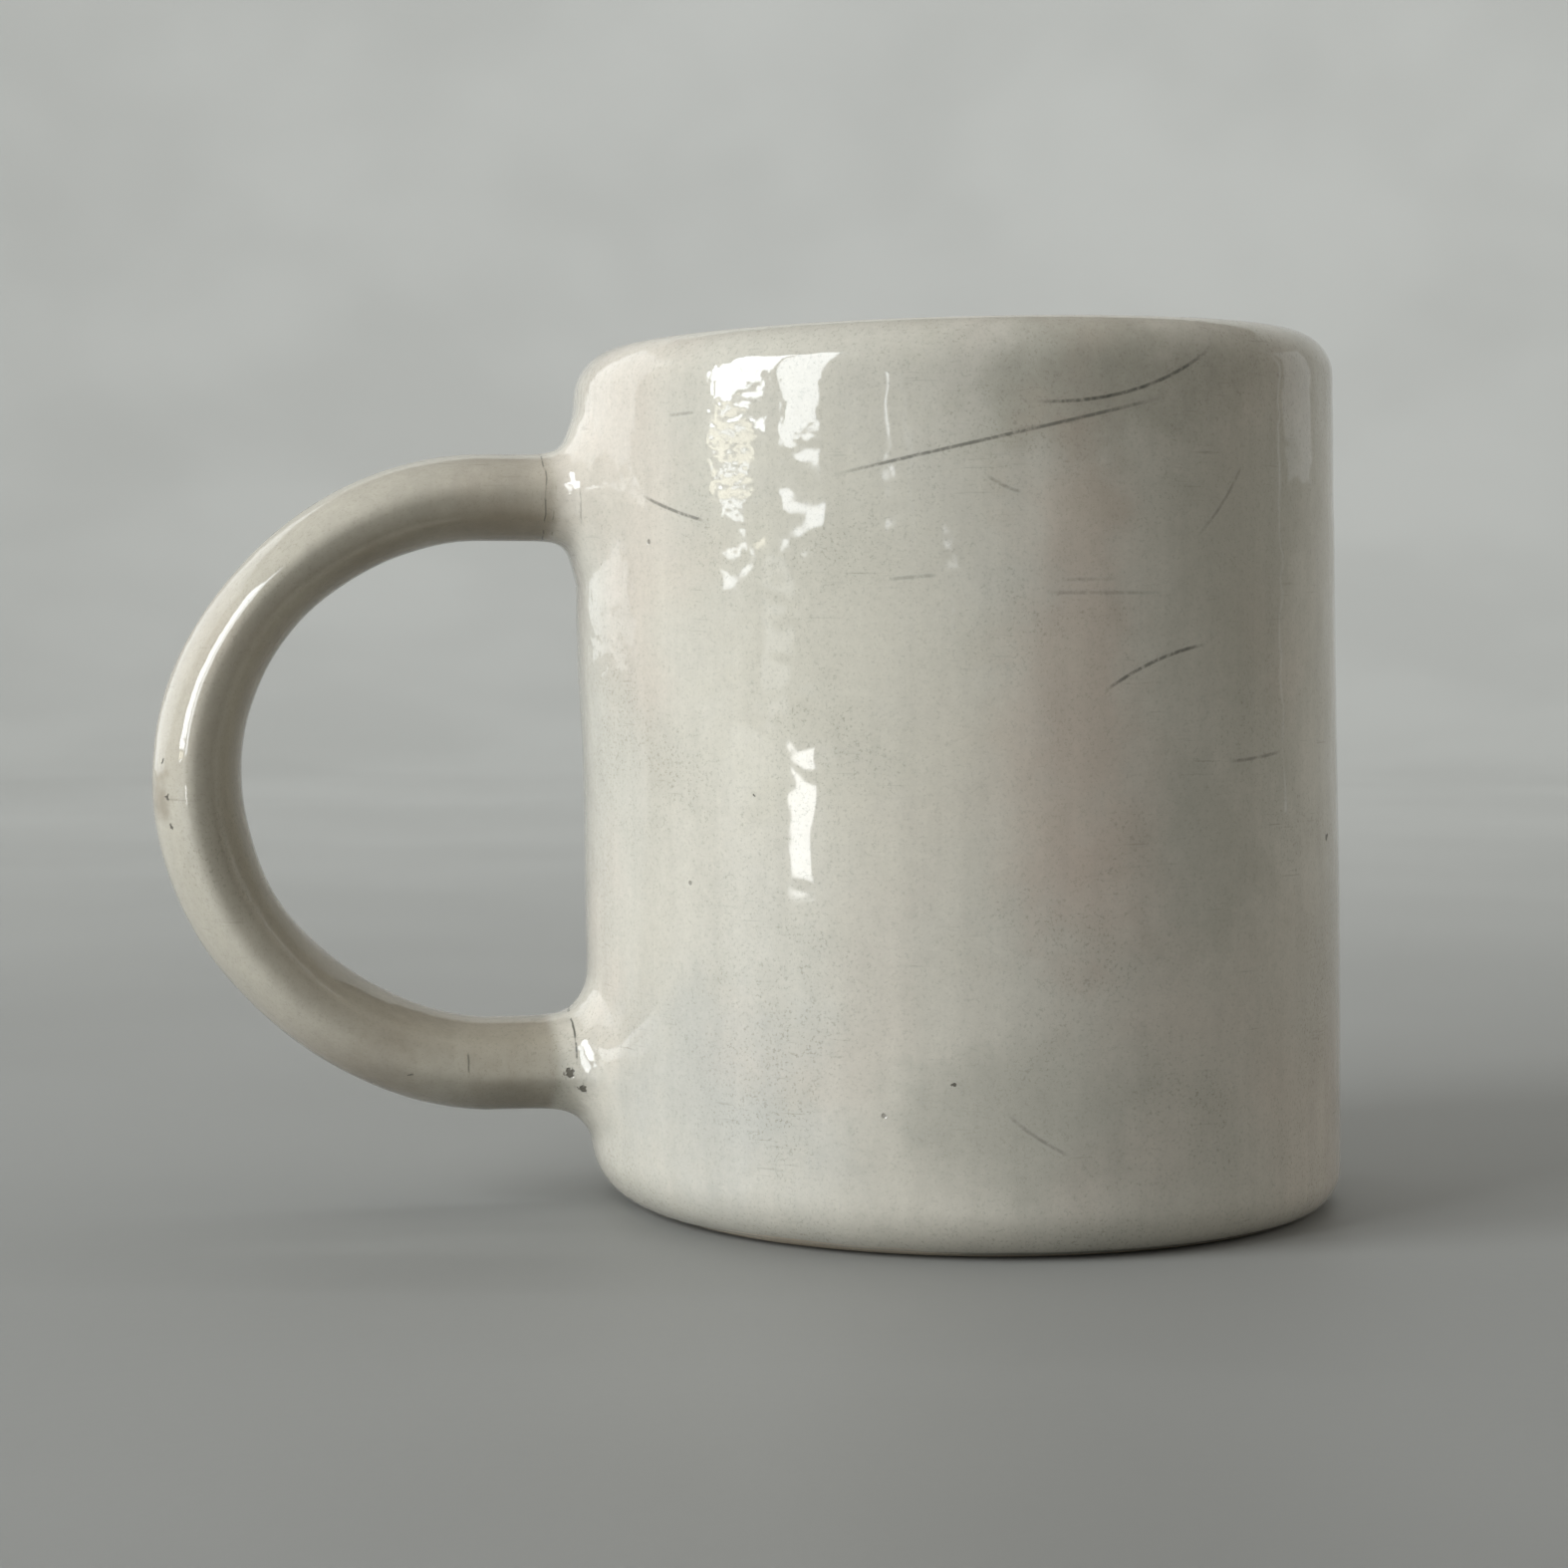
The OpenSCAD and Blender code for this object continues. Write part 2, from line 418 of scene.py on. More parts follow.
def inside_rings(crest):
    """Rings from just inside the crest of the rim to the middle of the floor."""
    lip_z = rim_height(angles) - LIP_H
    cove_z = FLOOR_Z + COVE_R
    rings = []
    for a in arc(0, 90, 6):
        rings.append((crest - (crest - BORE_R) * math.sin(a), lip_z + LIP_H * math.cos(a)))
    for share in np.linspace(0, 1, 34)[1:]:
        z = lip_z + (cove_z - lip_z) * share
        fade = smooth((lip_z - z) / 6)
        rings.append((BORE_R + fade * LINER_SWING * np.tanh(liner_hand(angles, z) / LINER_SWING), z))
    last_swing = rings[-1][0] - BORE_R
    for a in arc(0, 90, 8):
        radius = BORE_R - COVE_R * (1 - math.cos(a)) + last_swing * math.cos(a)
        rings.append((radius, cove_z - COVE_R * math.sin(a)))
    floor_r = BORE_R - COVE_R
    for radius in np.linspace(floor_r, 2, 11)[1:]:
        wave = np.sin(0.45 * radius + 2 * np.sin(angles))
        rings.append((radius, FLOOR_Z + FLOOR_SWING * smooth((floor_r - radius) / 8) * wave))
    return rings


def hole_loop(row, flip):
    """Point numbers round the opening at this row, in order; flip turns its rows over."""
    across = range(-HOLE_COLS, HOLE_COLS)
    upright = range(-HOLE_ROWS, HOLE_ROWS)
    loop = [(-HOLE_ROWS, c) for c in across]
    loop += [(r, HOLE_COLS) for r in upright]
    loop += [(HOLE_ROWS, -c) for c in across]
    loop += [(-r, -HOLE_COLS) for r in upright]
    return [(row + (-r if flip else r)) * COLUMNS + HANDLE_COLUMN + c for r, c in loop]


def oval_ring(direction):
    """Points (across, through) of the oval in the given directions from its middle."""
    size = np.full(len(direction), HANDLE_W / 2)
    for _ in range(30):
        size -= oval_gap(size * np.cos(direction), size * np.sin(direction)) * 0.8
    return size * np.cos(direction), size * np.sin(direction)


def bow_turns(count):
    """Evenly spaced turns along the bow, from its upper end to its lower one."""
    return np.linspace(math.pi / 2, -math.pi / 2, count)


def bow_ring(turn, across, through):
    """Ring of points round the bar at this turn of the bow."""
    middle, thickness = bow_profile(turn)
    radius = middle + through * thickness / HANDLE_T
    x = BOW_X - radius * math.cos(turn)
    return np.stack([x, across, BOW_Z + radius * math.sin(turn)], axis=-1)


def handle_rings(upper_loop, lower_loop):
    """Rings of points from the upper opening, round the bow, to the lower opening."""
    direction = np.arctan2(upper_loop[:, 2] - arm_z(1), upper_loop[:, 1])
    across, through = oval_ring(direction)
    bow = [bow_ring(turn, across, through) for turn in bow_turns(BOW_STATIONS)]
    return joint_rings(upper_loop, bow[0]) + bow + joint_rings(lower_loop, bow[-1])[::-1]


def joint_rings(loop, ring):
    """Rings from an opening's edge to the bar's end, curved through the corner between them."""
    corner = ring.copy()
    corner[:, 0] = -np.sqrt(BODY_R**2 - ring[:, 1] ** 2) - bend_shift(ring[:, 2])
    rings = []
    for t in np.arange(1, JOINT_STATIONS) / JOINT_STATIONS:
        rings.append((1 - t) ** 2 * loop + 2 * t * (1 - t) * corner + t**2 * ring)
    return rings


def ring_numbers(count, size, first=0):
    """Point numbers of rings of equal size that lie one after the other."""
    return first + np.arange(count * size).reshape(count, size)


def bands(loops):
    """Four-sided faces between each closed loop of point numbers and the next."""
    faces = []
    for here, there in zip(loops, loops[1:]):
        for k in range(len(here)):
            n = (k + 1) % len(here)
            faces.append((here[k], here[n], there[n], there[k]))
    return faces


def fan(loop, middle):
    """Triangles from a closed loop of point numbers to the point in its middle."""
    return [(loop[k], loop[(k + 1) % len(loop)], middle) for k in range(len(loop))]


def open_cells(rows):
    """Numbers of the grid's cells that lie in the openings at these rows."""
    cells = set()
    for row in rows:
        for r in range(row - HOLE_ROWS, row + HOLE_ROWS):
            for c in range(HANDLE_COLUMN - HOLE_COLS, HANDLE_COLUMN + HOLE_COLS):
                cells.add(r * COLUMNS + c)
    return cells


def coat_mesh():
    """Vertices in millimetres and faces of the outside, the rim and the liner, in one skin."""
    outside = outside_rings()
    rings = outside + inside_rings(outside[-1][0])
    grid = np.stack([body_point(angles, radius, z + 0 * angles) for radius, z in rings])
    lower_row = ROWS_BELOW + HOLE_ROWS
    upper_row = lower_row + ROWS_BETWEEN

    rows = slice(ROWS_BELOW - SETTLED_ROWS, upper_row + HOLE_ROWS + SETTLED_ROWS)
    reach_cols = HOLE_COLS + SETTLED_COLS
    columns = slice(HANDLE_COLUMN - reach_cols, HANDLE_COLUMN + reach_cols + 1)
    grid[rows, columns] = settle(grid[rows, columns])

    points = grid.reshape(-1, 3)
    upper_loop = hole_loop(upper_row, flip=False)
    lower_loop = hole_loop(lower_row, flip=True)
    bar = settle(np.stack(handle_rings(points[upper_loop], points[lower_loop])))
    floor_middle = body_point(np.zeros(1), np.zeros(1), np.full(1, FLOOR_Z))

    body_loops = ring_numbers(len(rings), COLUMNS)
    bar_loops = ring_numbers(len(bar), len(upper_loop), len(points))
    opening = open_cells((lower_row, upper_row))
    faces = [face for cell, face in enumerate(bands(body_loops)) if cell not in opening]
    faces += bands([upper_loop, *bar_loops, lower_loop])
    points = np.concatenate([points, bar.reshape(-1, 3), floor_middle])
    faces += fan(body_loops[-1], len(points) - 1)
    return points, faces


def foot_mesh():
    """Vertices and faces of the bare clay disc: hollow underside, rounded edge, mitred top."""
    foot = foot_round(angles)
    mitre = math.tan(LEAN / 2)
    # The rounded edge ends a little under the mitred top.
    edge_z = DISC_TOP + BODY_R * np.cos(angles) * mitre - 0.3
    rings = []
    for share in np.linspace(0.06, 1, 14):
        radius = share * (BODY_R - foot - 0.6)
        rings.append((radius, HOLLOW_H * smooth((1 - share) * 4) + 0 * angles))
    for a in np.radians(np.linspace(85, 0, 12)):
        radius = BODY_R - foot + (foot - FOOT_INSET) * math.cos(a)
        z = foot - (foot - FOOT_INSET) * math.sin(a) - FOOT_INSET
        rings.append((radius, np.clip(z, 0, edge_z)))
    rings = [body_point(angles, radius, z) for radius, z in rings]
    for radius in DISC_HIGH[0] * np.array([0.995, 0.5, 0.1]):
        x = radius * np.cos(angles)
        rings.append(np.stack([x, radius * np.sin(angles), DISC_TOP + x * mitre], axis=-1))
    loops = ring_numbers(len(rings), COLUMNS)
    count = loops.size
    faces = bands(loops) + fan(loops[0][::-1], count) + fan(loops[-1], count + 1)
    middles = [[0, 0, HOLLOW_H], [0, 0, DISC_TOP]]
    return np.concatenate([*rings, middles]), faces


def bar_mesh():
    """Vertices and faces of the clay bar under the handle's glaze, cut to fit the wall."""
    across, through = oval_ring(2 * math.pi * np.arange(BAR_POINTS) / BAR_POINTS)
    depth = 1 - BAR_DEPTH / np.hypot(across, through)
    rings = [bow_ring(turn, across * depth, through * depth) for turn in bow_turns(BAR_STATIONS)]
    ends = [rings[0].copy(), rings[-1].copy()]
    for end in ends:
        end[:, 0] = -np.sqrt(DISC_HIGH[0] ** 2 - end[:, 1] ** 2) - bend_shift(end[:, 2])
    rings = [ends[0], *rings, ends[1]]
    loops = ring_numbers(len(rings), BAR_POINTS)[:, ::-1]
    faces = bands(loops) + [tuple(loops[0][::-1]), tuple(loops[-1])]
    return np.concatenate(rings), faces


def make_piece(name, points, faces, material):
    """Makes a smooth mesh object from points in millimetres, leaving out unused points."""
    used = np.unique(np.concatenate([np.array(face) for face in faces]))
    number = np.full(len(points), -1)
    number[used] = np.arange(len(used))
    mesh = bpy.data.meshes.new(name)
    numbered = [[int(number[i]) for i in face] for face in faces]
    mesh.from_pydata((points[used] * MM).tolist(), [], numbered)
    mesh.materials.append(material)
    mesh.shade_smooth()
    mesh.validate()
    piece = bpy.data.objects.new(name, mesh)
    bpy.context.scene.collection.objects.link(piece)
    return piece


# --- Materials -------------------------------------------------------------------------------


class Graph:
    """Adds nodes to one material. Inputs may be sockets of other nodes or constants."""

    def __init__(self, name):
        self.material = bpy.data.materials.new(name)
        self.material.use_nodes = True
        self.tree = self.material.node_tree
        self.shader = self.tree.nodes["Principled BSDF"]

    def link(self, value, socket):
        """Joins a node's output to a socket, or sets the socket to a constant."""
        if isinstance(value, bpy.types.NodeSocket):
            self.tree.links.new(value, socket)
        else:
            socket.default_value = value

    def add(self, kind, inputs, **settings):
        """New node with its inputs, by name or number, and its settings."""
        node = self.tree.nodes.new(kind)
        for key, value in settings.items():
            setattr(node, key, value)
        for key, value in inputs.items():
            self.link(value, node.inputs[key])
        return node

    def place(self):
        """Place on the piece, in metres on the part's axes."""
        return self.add("ShaderNodeTexCoord", {}).outputs["Object"]

    def axes(self, vector):
        """The vector's X, Y and Z."""
        return self.add("ShaderNodeSeparateXYZ", {"Vector": vector}).outputs

    def math(self, operation, first, second=0.0, clamp=False):
        """Result of one sum; clamp keeps it from 0 to 1."""
        node = self.add("ShaderNodeMath", {0: first, 1: second}, operation=operation, use_clamp=clamp)
        return node.outputs[0]

    def blend_sum(self, first, first_weight, second, second_weight):
        """Weighted sum of two values."""
        weighted = self.math("MULTIPLY", first, first_weight)
        return self.math("ADD", weighted, self.math("MULTIPLY", second, second_weight))

    def length(self, first, second):
        """Length of a line, from its parts along two square directions."""
        first = self.math("MULTIPLY", first, first)
        second = self.math("MULTIPLY", second, second)
        return self.math("SQRT", self.math("ADD", first, second))

    def noise(self, vector, size, detail=2.0, roughness=0.5):
        """Noise from about 0.2 to 0.8, whose blotches are about size millimetres across."""
        inputs = {"Vector": vector, "Scale": 1 / (size * MM), "Detail": detail, "Roughness": roughness}
        return self.add("ShaderNodeTexNoise", inputs).outputs["Fac"]

    def step(self, value, low, high):
        """Smooth step from 0 at low to 1 at high."""
        inputs = {"Value": value, "From Min": low, "From Max": high}
        node = self.add("ShaderNodeMapRange", inputs, interpolation_type="SMOOTHSTEP")
        return node.outputs["Result"]

    def mix(self, factor, first, second, blend="MIX"):
        """Colour from first to second, as the factor goes from 0 to 1."""
        inputs = {"Factor": factor, 6: first, 7: second}
        return self.add("ShaderNodeMix", inputs, data_type="RGBA", blend_type=blend).outputs[2]

    def stretch(self, vector, level, upright):
        """The vector with its level and upright parts scaled; a small scale draws noise out."""
        inputs = {0: vector, 1: (level, level, upright)}
        return self.add("ShaderNodeVectorMath", inputs, operation="MULTIPLY").outputs[0]

    def shade(self, color, value):
        """The colour made brighter or darker by a value near 1."""
        grey = self.add("ShaderNodeCombineColor", {"Red": value, "Green": value, "Blue": value})
        return self.mix(1.0, color, grey.outputs["Color"], "MULTIPLY")

    def bump(self, height, depth, normal=None):
        """Normal of a relief that is depth millimetres high, on top of another normal."""
        inputs = {"Height": height, "Distance": depth * MM, "Strength": 1.0}
        if normal is not None:
            inputs["Normal"] = normal
        return self.add("ShaderNodeBump", inputs).outputs["Normal"]

    def finish(self, color, roughness, normal, **constants):
        """Joins the results to the shader, sets its constants and returns the material."""
        self.link(color, self.shader.inputs["Base Color"])
        self.link(roughness, self.shader.inputs["Roughness"])
        self.link(normal, self.shader.inputs["Normal"])
        for name, value in constants.items():
            self.shader.inputs[name.replace("_", " ")].default_value = value
        return self.material


def rgb(red, green, blue):
    """Linear colour from display values of 0 to 255."""
    return tuple((value / 255) ** 2.2 for value in (red, green, blue)) + (1.0,)


# Fine dark scuffs in the glaze: angle round the body in degrees and height in millimetres of the
# middle, length in millimetres, slope in degrees, sag in millimetres and darkness.
SCUFFS = [
    (-97.8, 80.6, 36, 13, 0.1, 0.85),
    (-92, 81.6, 7, 9, 0.0, 0.4),
    (-79.5, 85.1, 22, 16, 1.9, 1.0),
    (-75.8, 58.9, 13, 21, -0.8, 0.9),
    (-56.6, 49.1, 9, 5, 0.1, 0.5),
    (-147, 73.8, 10, -17, 0.2, 0.8),
    (-145, 83.3, 4, 3, 0.0, 0.4),
    (-83.5, 65.5, 13, 0, 0.0, 0.3),
    (-86, 66.8, 6, 1, 0.0, 0.25),
    (-93, 12.6, 8, -34, 0.3, 0.4),
    (-64, 74.5, 10, 49, 0.4, 0.35),
    (-98, 75.8, 4, -26, 0.2, 0.4),
    (-110, 67.0, 5, 5, 0.0, 0.4),
    (40, 55.0, 16, 12, 0.6, 0.5),
    (75, 72.0, 11, -20, 0.4, 0.4),
    (10, 30.0, 12, 8, 0.5, 0.4),
]

# Dark pits in the glaze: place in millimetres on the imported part's axes, and size.
PITS = [
    (-10.1, -39.6, 17.9, 0.24),
    (-28.0, -30.0, 45.5, 0.3),
    (33.5, -22.5, 40.2, 0.35),
    (-44.25, -7.95, 15.3, 0.6),
    (-42.9, -7.95, 13.6, 0.55),
    (-60.7, -7.2, 15.5, 0.35),
    (-86.0, -5.0, 48.2, 0.26),
    (-85.5, -5.9, 44.6, 0.32),
    (-85.1, -5.9, 41.5, 0.24),
]

# Brown stain spots in the handle's glaze, and painted shade under the lower arm laid on as spots of the
# same kind: place and size, as for the pits.
STAINS_AND_PAINTED_SHADE = [
    (-50, -4, 69, 13),
    (-63, -2, 67, 9),
    (-86, -4, 45, 4),
    # Painted shade: these two spots darken the underside of the lower arm, which is in shade.
    (-50, -3, 10, 12),
    (-66, -3, 12, 12),
]

# Soft blotches on the body: angle in degrees, height, half-width and half-height in millimetres,
# strength, and colour as display values.
BLOTCHES = [
    (-84, 86, 15, 8, 0.55, (146, 143, 128)),
    (-58, 70, 15, 30, 0.4, (160, 158, 144)),
    (-88, 56, 7, 26, 0.5, (180, 162, 147)),
    (-66, 40, 9, 9, 0.2, (150, 149, 136)),
    (-93, 14, 15, 7, 0.45, (152, 150, 138)),
    (-120, 62, 18, 26, 0.35, (194, 189, 172)),
    (-40, 24, 12, 16, 0.3, (170, 160, 146)),
    (60, 60, 20, 18, 0.4, (162, 159, 146)),
    (110, 30, 18, 14, 0.4, (188, 172, 160)),
    (-143, 15, 15, 11, 0.4, (166, 167, 162)),
    (15, 74, 14, 12, 0.35, (158, 155, 140)),
]

# Fine cracks round the bar and its joints: place along X, range of height and darkness.
SEAMS = [
    (-46.5, 66, 84, 0.6),
    (-45.6, 71, 77, 0.4),
    (-43.1, 72.5, 76.5, 0.4),
    (-43.6, 16, 22.5, 1.0),
    (-54.8, 15.4, 18.4, 0.7),
]


def surface_offset(g, spot, angle, height):
    """Distances along the wall and up it from a spot (degrees, millimetres), in metres."""
    middle, level = spot
    along = g.math("MULTIPLY", g.math("SUBTRACT", angle, math.radians(middle)), BODY_R * MM)
    return along, g.math("SUBTRACT", height, level * MM)


def scuff_mask(g, angle, height, place):
    """All scuffs, each a thin curved stroke that breaks up along its length."""
    breakup = g.step(g.noise(place, 0.9, detail=4.0, roughness=0.7), 0.22, 0.62)
    total = 0.0
    for middle, level, length, slope, sag, darkness in SCUFFS:
        turn = math.radians(slope)
        du, dv = surface_offset(g, (middle, level), angle, height)
        along = g.blend_sum(du, math.cos(turn), dv, math.sin(turn))
        across = g.blend_sum(dv, math.cos(turn), du, -math.sin(turn))
        share = g.math("POWER", g.math("MULTIPLY", along, 2 / (length * MM)), 2.0)
        across = g.math("SUBTRACT", across, g.math("MULTIPLY", share, sag * MM))
        thin = g.step(g.math("ABSOLUTE", across), 0.26 * MM, 0.05 * MM)
        ends = g.step(share, 1.0, 0.3)
        stroke = g.math("MULTIPLY", g.math("MULTIPLY", thin, ends), darkness)
        total = g.math("MAXIMUM", total, stroke)
    return g.math("MULTIPLY", total, breakup)


def spot_mask(g, place, spots, core, grain):
    """Ragged spots, solid within a share of their size; grain is the raggedness in millimetres."""
    ragged = g.math("SUBTRACT", g.noise(place, grain, detail=2.0), 0.5)
    ragged = g.math("MULTIPLY", ragged, 2.6 * grain * MM)
    total = 0.0
    for x, y, z, size in spots:
        inputs = {0: place, 1: Vector((x, y, z)) * MM}
        distance = g.add("ShaderNodeVectorMath", inputs, operation="DISTANCE").outputs["Value"]
        spot = g.step(g.math("ADD", distance, ragged), size * MM, core * size * MM)
        total = g.math("MAXIMUM", total, spot)
    return total


def seam_mask(g, x, height, place):
    """Broken hairlines round both ends of the bar."""
    wander = g.math("MULTIPLY", g.math("SUBTRACT", g.noise(place, 4.0), 0.5), 1.2 * MM)
    breakup = g.step(g.noise(place, 1.6), 0.42, 0.55)
    total = 0.0
    for at, low, high, darkness in SEAMS:
        across = g.math("ABSOLUTE", g.math("ADD", g.math("SUBTRACT", x, at * MM), wander))
        line = g.step(across, 0.14 * MM, 0.03 * MM)
        level = g.math("ABSOLUTE", g.math("SUBTRACT", height, (low + high) / 2 * MM))
        line = g.math("MULTIPLY", line, g.step(level, (high - low) / 2 * MM, (high - low) / 3 * MM))
        line = g.math("MULTIPLY", line, darkness)
        total = g.math("MAXIMUM", total, line)
    return g.math("MULTIPLY", total, breakup)


def add_blotches(g, color, angle, height, place):
    """The colour with all blotches mixed in, their edges drawn out by noise."""
    ragged = g.math("SUBTRACT", g.noise(place, 7, detail=4.0, roughness=0.6), 0.5)
    ragged = g.math("MULTIPLY", ragged, 2.2)
    for middle, level, half_width, half_height, strength, tone in BLOTCHES:
        du, dv = surface_offset(g, (middle, level), angle, height)
        du = g.math("MULTIPLY", du, 1 / (half_width * MM))
        dv = g.math("MULTIPLY", dv, 1 / (half_height * MM))
        away = g.math("ADD", g.length(du, dv), ragged)
        share = g.math("MULTIPLY", g.step(away, 1.5, 0.2), strength)
        color = g.mix(share, color, rgb(*tone))
    return color


def cloud_color(g, place, dusk):
    """The putty ground of the glaze, with pinkish and greyish clouds."""
    blush = g.step(g.noise(place, 26, detail=2.0), 0.48, 0.7)
    color = g.mix(g.step(g.noise(place, 40), 0.36, 0.64), rgb(190, 185, 172), rgb(187, 183, 171))
    color = g.mix(g.math("MULTIPLY", blush, 0.35), color, rgb(196, 181, 167))
    return g.mix(g.math("MULTIPLY", dusk, 0.28), color, rgb(160, 157, 143))


def dusk_mask(g, place, height, outside):
    """Where the glaze is greyish: in clouds, at the rim and at the foot."""
    clouds = g.step(g.noise(place, 19, detail=5.0, roughness=0.62), 0.46, 0.74)
    rim = g.math("MULTIPLY", g.step(height, 80 * MM, 91 * MM), 0.3)
    hem = g.math("MULTIPLY", g.step(height, 6 * MM, 1 * MM), 0.5)
    return g.math("ADD", clouds, g.math("MULTIPLY", g.math("ADD", rim, hem), outside), clamp=True)


def add_handle_tones(g, color, place, handle):
    """The handle's browner glaze, darkened partly as painted shade, painted shade on the inner side of
    the bow, and its stain spots with painted shade under the lower arm.
    """
    # Partly the handle's own browner glaze and partly painted shade, since the whole handle sits in
    # shade.
    color = g.mix(g.math("MULTIPLY", handle, 0.55), color, rgb(154, 147, 131))
    # Painted shade: the inner side of the bow, which faces away from the light, is made darker.
    bow_middle = Vector((BOW_X, 0, BOW_Z)) * MM
    offset = g.add("ShaderNodeVectorMath", {0: place, 1: bow_middle}, operation="SUBTRACT")
    x, _, z = g.axes(offset.outputs[0])
    inner = g.step(g.length(x, z), (BOW_R + 1) * MM, (BOW_R - 4) * MM)
    inner = g.math("MULTIPLY", inner, handle)
    color = g.mix(g.math("MULTIPLY", inner, 0.5), color, rgb(128, 120, 104))
    # Brown stain spots, with painted shade under the lower arm among them.
    stains_and_shade = g.math("MULTIPLY", spot_mask(g, place, STAINS_AND_PAINTED_SHADE, 0.0, 2.5), handle)
    return g.mix(g.math("MULTIPLY", stains_and_shade, 0.5), color, rgb(112, 99, 80))


def add_dust(g, color, place, dusk, outside):
    """Dark dust in the glaze and fine level scratches, more of the dust where it is dusky."""
    fine = g.step(g.noise(place, 0.35, detail=3.0, roughness=0.75), 0.52, 0.68)
    dust = g.math("MULTIPLY", fine, g.math("ADD", g.math("MULTIPLY", dusk, 0.32), 0.2))
    color = g.mix(dust, color, rgb(116, 113, 100))
    scratches = g.step(g.noise(g.stretch(place, 0.06, 1.0), 0.34, detail=3.0), 0.6, 0.74)
    patchy = g.math("MULTIPLY", g.step(g.noise(place, 9, detail=2.0), 0.5, 0.66), outside)
    scratches = g.math("MULTIPLY", scratches, patchy)
    return g.mix(g.math("MULTIPLY", scratches, 0.25), color, rgb(104, 101, 90))


def pit_mask(g, place):
    """Pinholes strewn over the glaze, and the larger pits."""
    cells = g.add("ShaderNodeTexVoronoi", {"Vector": place, "Scale": 1 / (14 * MM)})
    pinholes = g.math("MULTIPLY", g.step(cells.outputs["Distance"], 0.024, 0.012), 0.6)
    return g.math("MAXIMUM", pinholes, spot_mask(g, place, PITS, 0.6, 0.5))


def glaze_bump(g, place, pits, worked):
    """Slow waves, fine grain, the unevenness of worked clay, and sunken pits."""
    skin = g.bump(g.noise(place, 3.8, detail=1.0), 0.075)
    skin = g.bump(g.noise(place, 0.9, detail=1.0), 0.0006, skin)
    skin = g.bump(g.math("MULTIPLY", g.noise(place, 2.6, detail=2.0), worked), 0.16, skin)
    return g.bump(pits, -0.1, skin)


def glaze_zones(g, radius):
    """Masks of the outside, the handle and the joints, by the distance from the body's axis."""
    outside = g.step(radius, 37 * MM, 39 * MM)
    handle = g.step(radius, 45.2 * MM, 46.9 * MM)
    past_wall = g.step(radius, 41.4 * MM, 42.6 * MM)
    before_bow = g.step(radius, 50 * MM, 46 * MM)
    return outside, handle, g.math("MULTIPLY", past_wall, before_bow)


def glaze_material():
    """Glossy putty glaze: greyish and pinkish clouds, dark dust, pinholes and scuffs."""
    g = Graph("glaze")
    place = g.place()
    x, y, z = g.axes(place)
    angle = g.math("ARCTAN2", y, x)
    outside, handle, joint = glaze_zones(g, g.length(x, y))

    dusk = dusk_mask(g, place, z, outside)
    color = cloud_color(g, place, dusk)
    color = add_blotches(g, color, angle, z, place)
    color = add_handle_tones(g, color, place, handle)

    # Streaks that ran down, and mottling.
    streaks = g.noise(g.stretch(place, 1.0, 0.05), 2.2, detail=3.0)
    mottle = g.noise(place, 1.2, detail=5.0, roughness=0.8)
    color = g.shade(color, g.math("ADD", g.blend_sum(mottle, 0.3, streaks, 0.17), 0.785))
    color = add_dust(g, color, place, dusk, outside)

    scuffs = g.math("MAXIMUM", scuff_mask(g, angle, z, place), seam_mask(g, x, z, place))
    scuffs = g.math("MULTIPLY", scuffs, outside)
    pits = pit_mask(g, place)
    color = g.mix(g.math("MULTIPLY", scuffs, 0.9), color, rgb(76, 76, 68))
    color = g.mix(g.math("MULTIPLY", pits, 0.85), color, rgb(70, 66, 56))
    roughness = g.math("ADD", g.math("MULTIPLY", mottle, 0.06), 0.02)
    roughness = g.math("ADD", roughness, g.math("MULTIPLY", g.math("MAXIMUM", scuffs, pits), 0.3))
    worked = g.math("MAXIMUM", joint, g.math("MULTIPLY", handle, 0.3))
    return g.finish(color, roughness, glaze_bump(g, place, pits, worked), IOR=1.5)


def clay_material():
    """Bare fired clay: warm buff, matt, with grog specks and a sponged surface."""
    g = Graph("clay")
    place = g.place()
    clouds = g.noise(place, 18, detail=3.0)
    grain = g.noise(place, 0.8, detail=5.0, roughness=0.7)
    color = g.mix(g.step(clouds, 0.35, 0.65), rgb(186, 173, 154), rgb(170, 157, 138))
    specks = g.step(g.noise(place, 0.6, detail=2.0), 0.66, 0.72)
    color = g.mix(g.math("MULTIPLY", specks, 0.5), color, rgb(112, 94, 76))
    roughness = g.math("ADD", g.math("MULTIPLY", grain, 0.2), 0.72)
    return g.finish(color, roughness, g.bump(grain, 0.12), IOR=1.5)


def studio_material():
    """Plain pale studio surface."""
    g = Graph("studio")
    place = g.place()
    tone = g.noise(place, 120, detail=2.0)
    color = g.mix(g.step(tone, 0.3, 0.7), rgb(134, 134, 130), rgb(139, 139, 135))
    roughness = g.math("ADD", g.math("MULTIPLY", tone, 0.1), 0.5)
    return g.finish(color, roughness, g.bump(g.noise(place, 2, detail=4.0), 0.02))


# --- Pieces ----------------------------------------------------------------------------------

glaze = glaze_material()
clay = clay_material()

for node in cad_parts.values():
    node.data.materials.clear()
    node.data.materials.append(clay)

coat = make_piece("glaze_coat", *coat_mesh(), glaze)
shell = coat.modifiers.new("thickness", "SOLIDIFY")
shell.thickness = 0.3 * MM
shell.offset = -1
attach(coat, "root")
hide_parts("outer_glaze", "liner_glaze", "handle_glaze")

bar = make_piece("handle_clay", *bar_mesh(), clay)
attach(bar, "root")
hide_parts("handle_rod")

foot = make_piece("bare_foot", *foot_mesh(), clay)
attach(foot, "root")
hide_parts("base_disc")


# --- Studio: sweep, lights and camera --------------------------------------------------------


